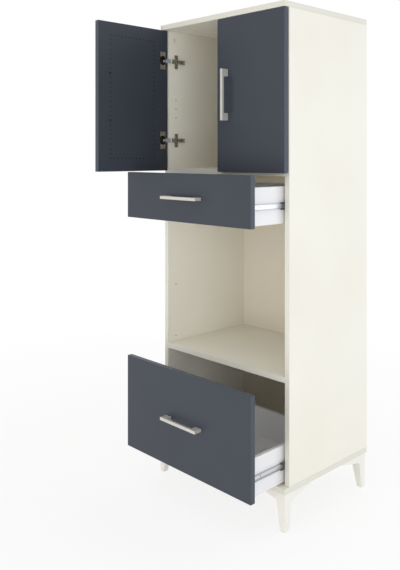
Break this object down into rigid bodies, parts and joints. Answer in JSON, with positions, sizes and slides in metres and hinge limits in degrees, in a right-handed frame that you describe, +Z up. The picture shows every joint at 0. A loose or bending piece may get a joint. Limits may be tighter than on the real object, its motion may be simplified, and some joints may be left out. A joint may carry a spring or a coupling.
{
  "type": "microwave cabinet",
  "caption": "Tall cream kitchen cabinet on shaped legs, with a cupboard behind doors, a shallow drawer, an open niche for an oven and a deep drawer.",
  "frame": {"origin": "on the floor at the front left corner of the front left leg", "axes": "+X to the right along the width, +Y to the back, +Z up"},
  "size_m": [0.6259, 0.7166, 1.625],
  "materials": {
    "cream_board": "fine matt cream foil on chipboard",
    "back_board": "cream paper foil on hardboard",
    "cream_leg": "satin cream lacquer",
    "anthracite_front": "matt anthracite foil on chipboard",
    "drawer_white": "greyish white foil on chipboard",
    "handle_nickel": "satin nickel",
    "hinge_nickel": "nickel-plated steel",
    "slide_zinc": "bright zinc plate",
    "screw_zinc": "zinc plate",
    "fitting_zinc": "die-cast zinc",
    "ball_steel": "polished steel",
    "cage_black": "moulded black",
    "clear_bumper": "clear silicone",
    "beech": "fluted beech"
  },
  "bodies": {
    "carcass": {"top_panel": "cream_board", "bottom_panel": "cream_board", "left_side_panel": "cream_board", "right_side_panel": "cream_board", "cupboard_floor": "cream_board", "niche_shelf": "cream_board", "back_panel": "back_board", "front_left_leg": "cream_leg", "front_right_leg": "cream_leg", "rear_left_leg": "cream_leg", "rear_right_leg": "cream_leg", "leg_screws": "screw_zinc", "dowels": "beech", "cam_locks": "fitting_zinc", "cam_bolts": "screw_zinc", "hinge_plates": "hinge_nickel", "hinge_plate_screws": "screw_zinc", "hinge_arms": "hinge_nickel", "small_drawer_outer_rails": "slide_zinc", "big_drawer_outer_rails": "slide_zinc", "outer_rail_screws": "screw_zinc"},
    "left_door": {"left_door_panel": "anthracite_front", "left_door_hinge_cups": "hinge_nickel", "left_door_hinge_pins": "screw_zinc", "left_door_cup_screws": "screw_zinc", "left_door_handle": "handle_nickel", "left_door_handle_screws": "screw_zinc", "left_door_bumper": "clear_bumper"},
    "right_door": {"right_door_panel": "anthracite_front", "right_door_hinge_cups": "hinge_nickel", "right_door_hinge_pins": "screw_zinc", "right_door_cup_screws": "screw_zinc", "right_door_handle": "handle_nickel", "right_door_handle_screws": "screw_zinc", "right_door_bumper": "clear_bumper"},
    "small_drawer": {"small_drawer_front": "anthracite_front", "small_drawer_left_side": "drawer_white", "small_drawer_right_side": "drawer_white", "small_drawer_back": "drawer_white", "small_drawer_bottom": "drawer_white", "small_drawer_inner_rails": "slide_zinc", "small_drawer_box_screws": "screw_zinc", "small_drawer_cams": "fitting_zinc", "small_drawer_handle": "handle_nickel", "small_drawer_handle_screws": "screw_zinc"},
    "small_drawer_cages": {"small_drawer_ball_cages": "cage_black", "small_drawer_balls": "ball_steel"},
    "big_drawer": {"big_drawer_front": "anthracite_front", "big_drawer_left_side": "drawer_white", "big_drawer_right_side": "drawer_white", "big_drawer_back": "drawer_white", "big_drawer_bottom": "drawer_white", "big_drawer_inner_rails": "slide_zinc", "big_drawer_box_screws": "screw_zinc", "big_drawer_cams": "fitting_zinc", "big_drawer_handle": "handle_nickel", "big_drawer_handle_screws": "screw_zinc"},
    "big_drawer_cages": {"big_drawer_ball_cages": "cage_black", "big_drawer_balls": "ball_steel"}
  },
  "joints": [
    {"name": "left_door_hinge", "type": "hinge", "parent": "carcass", "child": "left_door", "pos_m": [0.0095, 0.0074, 1.3505], "axis": [0, 0, -1], "range_deg": [-90, 10]},
    {"name": "right_door_hinge", "type": "hinge", "parent": "carcass", "child": "right_door", "pos_m": [0.5905, 0.0074, 1.3505], "axis": [0, 0, 1], "range_deg": [0, 100]},
    {"name": "small_drawer_slide", "type": "slide", "parent": "carcass", "child": "small_drawer", "axis": [0, -1, 0], "range_m": [-0.148, 0.102]},
    {"name": "big_drawer_slide", "type": "slide", "parent": "carcass", "child": "big_drawer", "axis": [0, -1, 0], "range_m": [-0.148, 0.102]},
    {"name": "small_drawer_cage_slide", "type": "slide", "parent": "carcass", "child": "small_drawer_cages", "axis": [0, -1, 0], "range_m": [-0.074, 0.051]},
    {"name": "big_drawer_cage_slide", "type": "slide", "parent": "carcass", "child": "big_drawer_cages", "axis": [0, -1, 0], "range_m": [-0.074, 0.051]}
  ],
  "couplings": [
    {"joint": "small_drawer_cage_slide", "follows": "small_drawer_slide", "ratio": 0.5},
    {"joint": "big_drawer_cage_slide", "follows": "big_drawer_slide", "ratio": 0.5}
  ]
}
